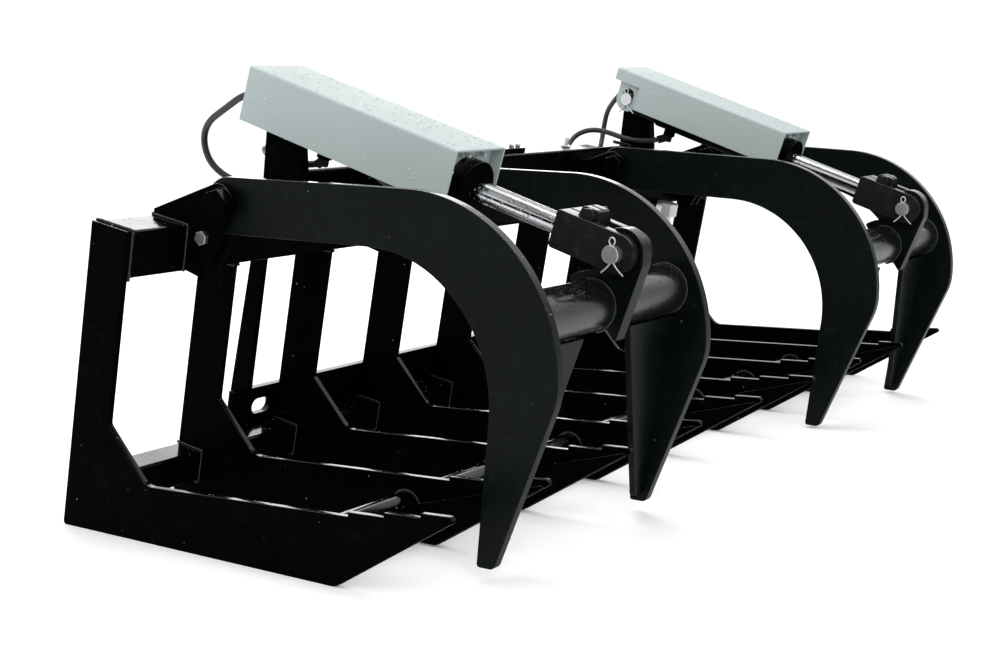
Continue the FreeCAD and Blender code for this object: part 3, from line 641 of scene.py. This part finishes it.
def hose(name, points):
    """Hose tube over its smooth line, from the cylinder to the frame."""
    line = hose_line(name + "_line", points)
    scene.collection.objects.link(line)
    path = [vertex.co.copy() for vertex in settled(line).vertices]
    line.data.bevel_depth = hose_diameter / 2
    line.data.bevel_resolution = 4
    line.data.use_fill_caps = True
    mesh = settled(line)
    bpy.data.objects.remove(line)
    mesh.materials.clear()
    mesh.materials.append(rubber.material)
    for face in mesh.polygons:
        face.use_smooth = True
    piece = bpy.data.objects.new(name, mesh)
    scene.collection.objects.link(piece)
    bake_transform(piece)


for side in ("left", "right"):
    points = [line_point(side, *place) for place in upper_hose_ride]
    points += [frame_point(side, *place) for place in upper_hose_loop[side] + upper_hose_runs[side]]
    hose("upper_hose_" + side, points)
    points = [line_point(side, *elbow_mouth)]
    points += [frame_point(side, *place) for place in lower_hose_loop + lower_hose_runs[side]]
    hose("lower_hose_" + side, points)

# Hose ends. A crimped elbow on each rear port, a clamp block hooked over the beam with two
# plated bolts, a stud beside it, and a plated coupler hung in front of the main tube.
def rod_between(shape, start, end, radius, sides):
    """Add a round or many-sided bar between two points to the shape."""
    way = end - start
    turn = way.to_track_quat("Z", "Y").to_matrix().to_4x4()
    bmesh.ops.create_cone(shape, cap_ends=True, segments=sides, radius1=radius, radius2=radius,
                          depth=way.length, matrix=Matrix.Translation((start + end) / 2) @ turn)


def fitting(name, bars, finish, body):
    """One piece of several bars, each given as its two ends, radius and number of sides."""
    shape = bmesh.new()
    for bar in bars:
        rod_between(shape, *bar)
    mesh = bpy.data.meshes.new(name)
    shape.to_mesh(mesh)
    shape.free()
    for face in mesh.polygons:
        face.use_smooth = True
    mesh.materials.append(finish.material)
    piece = bpy.data.objects.new(name, mesh)
    softened(piece, 0.0008, True)
    return finished(piece, body)


port_along = 0.092
elbow_radius = 0.0085
for side in ("left", "right"):
    knee, mouth = line_point(side, 0.0, port_along, -0.052), line_point(side, *elbow_mouth)
    way = (mouth - knee).normalized()
    fitting("port_elbow_" + side,
            ((line_point(side, 0.0, port_along, -0.0492), line_point(side, 0.0, port_along, -0.061),
              elbow_radius, 24),
             (knee + way * 0.004, mouth - way * 0.0005, elbow_radius, 6)),
            cast_black, "cylinder_" + side)

block = bmesh.new()
block_ends = (0.045, 0.155)
block_profile = ((0.522, 0.030), (0.531, 0.030), (0.531, -0.0015), (0.466, -0.0015),
                 (0.466, -0.0003), (0.522, -0.0003))
rows = [[block.verts.new(leaning(x, *place)) for place in block_profile] for x in block_ends]
for first in range(len(block_profile)):
    second = (first + 1) % len(block_profile)
    block.faces.new((rows[0][first], rows[0][second], rows[1][second], rows[1][first]))
block.faces.new(rows[0][::-1])
block.faces.new(rows[1])
bmesh.ops.recalc_face_normals(block, faces=block.faces)
block_mesh = bpy.data.meshes.new("hose_clamp_block")
block.to_mesh(block_mesh)
block.free()
block_mesh.materials.append(black_coat.material)
finished(bpy.data.objects.new("hose_clamp_block", block_mesh), "frame")
bolt_depth, stud_depth, coupler_depth = 0.015, 0.013, 0.0935
stud_x, coupler_x = 0.335, 0.675
fitting("clamp_bolts",
        [(leaning(x, 0.5312, bolt_depth), leaning(x, 0.5362, bolt_depth), 0.0055, 6) for x in (0.128, 0.15)],
        zinc, "frame")
fitting("beam_stud",
        ((leaning(stud_x, 0.5223, stud_depth), leaning(stud_x, 0.5263, stud_depth), 0.012, 4),
         (leaning(stud_x, 0.526, stud_depth), leaning(stud_x, 0.541, stud_depth), 0.004, 16)),
        zinc, "frame")
fitting("hose_coupler",
        ((leaning(coupler_x, 0.402, coupler_depth), leaning(coupler_x, 0.375, coupler_depth), 0.0245, 8),
         (leaning(coupler_x, 0.375, coupler_depth), leaning(coupler_x, 0.333, coupler_depth), 0.014, 24)),
        zinc, "frame")

# Cotters. A split pin of round wire through each rod pin and base pin, its eye up and its
# two legs bent apart below.
cotter_wire = ((-0.0175, -0.0285), (-0.0014, -0.0145), (-0.0014, 0.0), (-0.0014, 0.0128), (-0.0048, 0.016),
               (-0.0038, 0.0215), (0.0, 0.023), (0.0038, 0.0215), (0.0048, 0.016), (0.0014, 0.0128),
               (0.0014, 0.0), (0.0014, -0.0145), (0.0165, -0.026))
cotter_radius = 0.0012
rod_pin_cotter_inset = 0.0065
base_cotter_x = 0.514


def cotter(name, pin, x, body):
    """Split pin across a pin's middle line, at the given place along it."""
    low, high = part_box(pin)
    pin_y, pin_z = (low.y + high.y) / 2, (low.z + high.z) / 2
    line = hose_line(name, [Vector((x, pin_y + across, pin_z + rise)) for across, rise in cotter_wire])
    line.data.bevel_depth = cotter_radius
    line.data.bevel_resolution = 3
    line.data.use_fill_caps = True
    line.data.materials.append(zinc.material)
    finished(line, body)


for side in ("left", "right"):
    pin = "rod_pin_" + side
    cotter("cotter_" + pin, pin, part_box(pin)[0].x + rod_pin_cotter_inset, "rod_" + side)
for side, out in (("left", -1), ("right", 1)):
    cotter("cotter_base_" + side, "base_pins", out * base_cotter_x, "frame")
